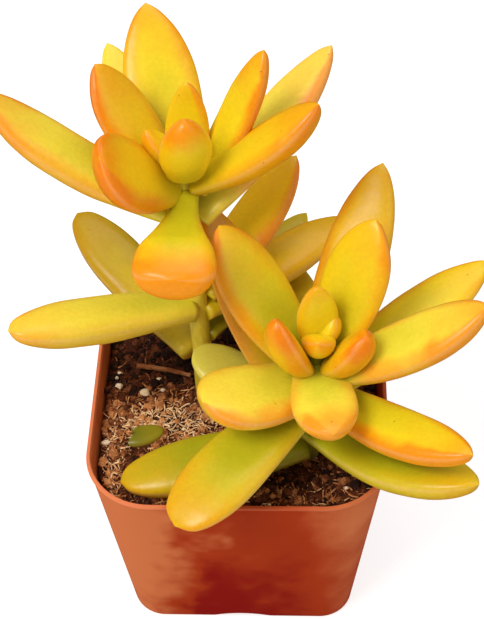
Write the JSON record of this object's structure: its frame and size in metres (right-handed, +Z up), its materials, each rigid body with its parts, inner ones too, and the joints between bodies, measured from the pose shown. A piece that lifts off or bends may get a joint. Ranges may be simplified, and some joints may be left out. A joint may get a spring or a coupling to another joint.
{
  "type": "potted sedum plant",
  "caption": "Golden sedum with leafy stems of thick pointed leaves, in a small square terracotta-red plastic nursery pot filled with dark potting mix.",
  "frame": {"origin": "centre of the pot's underside, on the surface that the pot stands on", "axes": "+Z up; the picture looks along +Y, so -Y is the side of the pot that faces it, and +X is to its right"},
  "size_m": [0.0871, 0.0792, 0.1094],
  "materials": {
    "pot_plastic": "thin moulded plastic in terracotta red, satin outside",
    "potting_mix": "loose dark peat and coco fibre with white perlite",
    "stem_skin": "smooth fleshy yellow-green skin with leaf scars",
    "leaf_gold": "waxy golden-yellow skin, orange towards the margins",
    "leaf_orange": "waxy yellow skin, sun-flushed orange to salmon",
    "leaf_pale": "waxy pale yellow skin",
    "leaf_green": "waxy yellow-green skin",
    "leaf_olive": "waxy olive-green skin",
    "dry_bark": "dry brown bark"
  },
  "bodies": {
    "root": {"pot": "pot_plastic", "soil": "potting_mix", "upper_stem": "stem_skin", "lower_stem": "stem_skin", "upper_leaf_01": "leaf_gold", "upper_leaf_02": "leaf_gold", "upper_leaf_03": "leaf_gold", "upper_leaf_04": "leaf_gold", "upper_leaf_05": "leaf_orange", "upper_leaf_06": "leaf_gold", "upper_leaf_07": "leaf_orange", "upper_leaf_08": "leaf_gold", "upper_leaf_09": "leaf_pale", "upper_leaf_10": "leaf_orange", "upper_leaf_11": "leaf_orange", "upper_leaf_12": "leaf_pale", "upper_leaf_13": "leaf_olive", "upper_leaf_14": "leaf_olive", "upper_leaf_15": "leaf_gold", "upper_leaf_16": "leaf_olive", "lower_leaf_01": "leaf_gold", "lower_leaf_02": "leaf_gold", "lower_leaf_03": "leaf_gold", "lower_leaf_04": "leaf_gold", "lower_leaf_05": "leaf_pale", "lower_leaf_06": "leaf_gold", "lower_leaf_07": "leaf_orange", "lower_leaf_08": "leaf_green", "lower_leaf_09": "leaf_orange", "lower_leaf_10": "leaf_orange", "lower_leaf_11": "leaf_green", "lower_leaf_12": "leaf_green", "lower_leaf_13": "leaf_orange", "lower_leaf_14": "leaf_orange", "lower_leaf_15": "leaf_pale", "lower_leaf_16": "leaf_olive", "upper_bud": "leaf_gold", "lower_bud": "leaf_gold", "twig": "dry_bark", "fallen_leaf": "leaf_olive"}
  },
  "joints": []
}
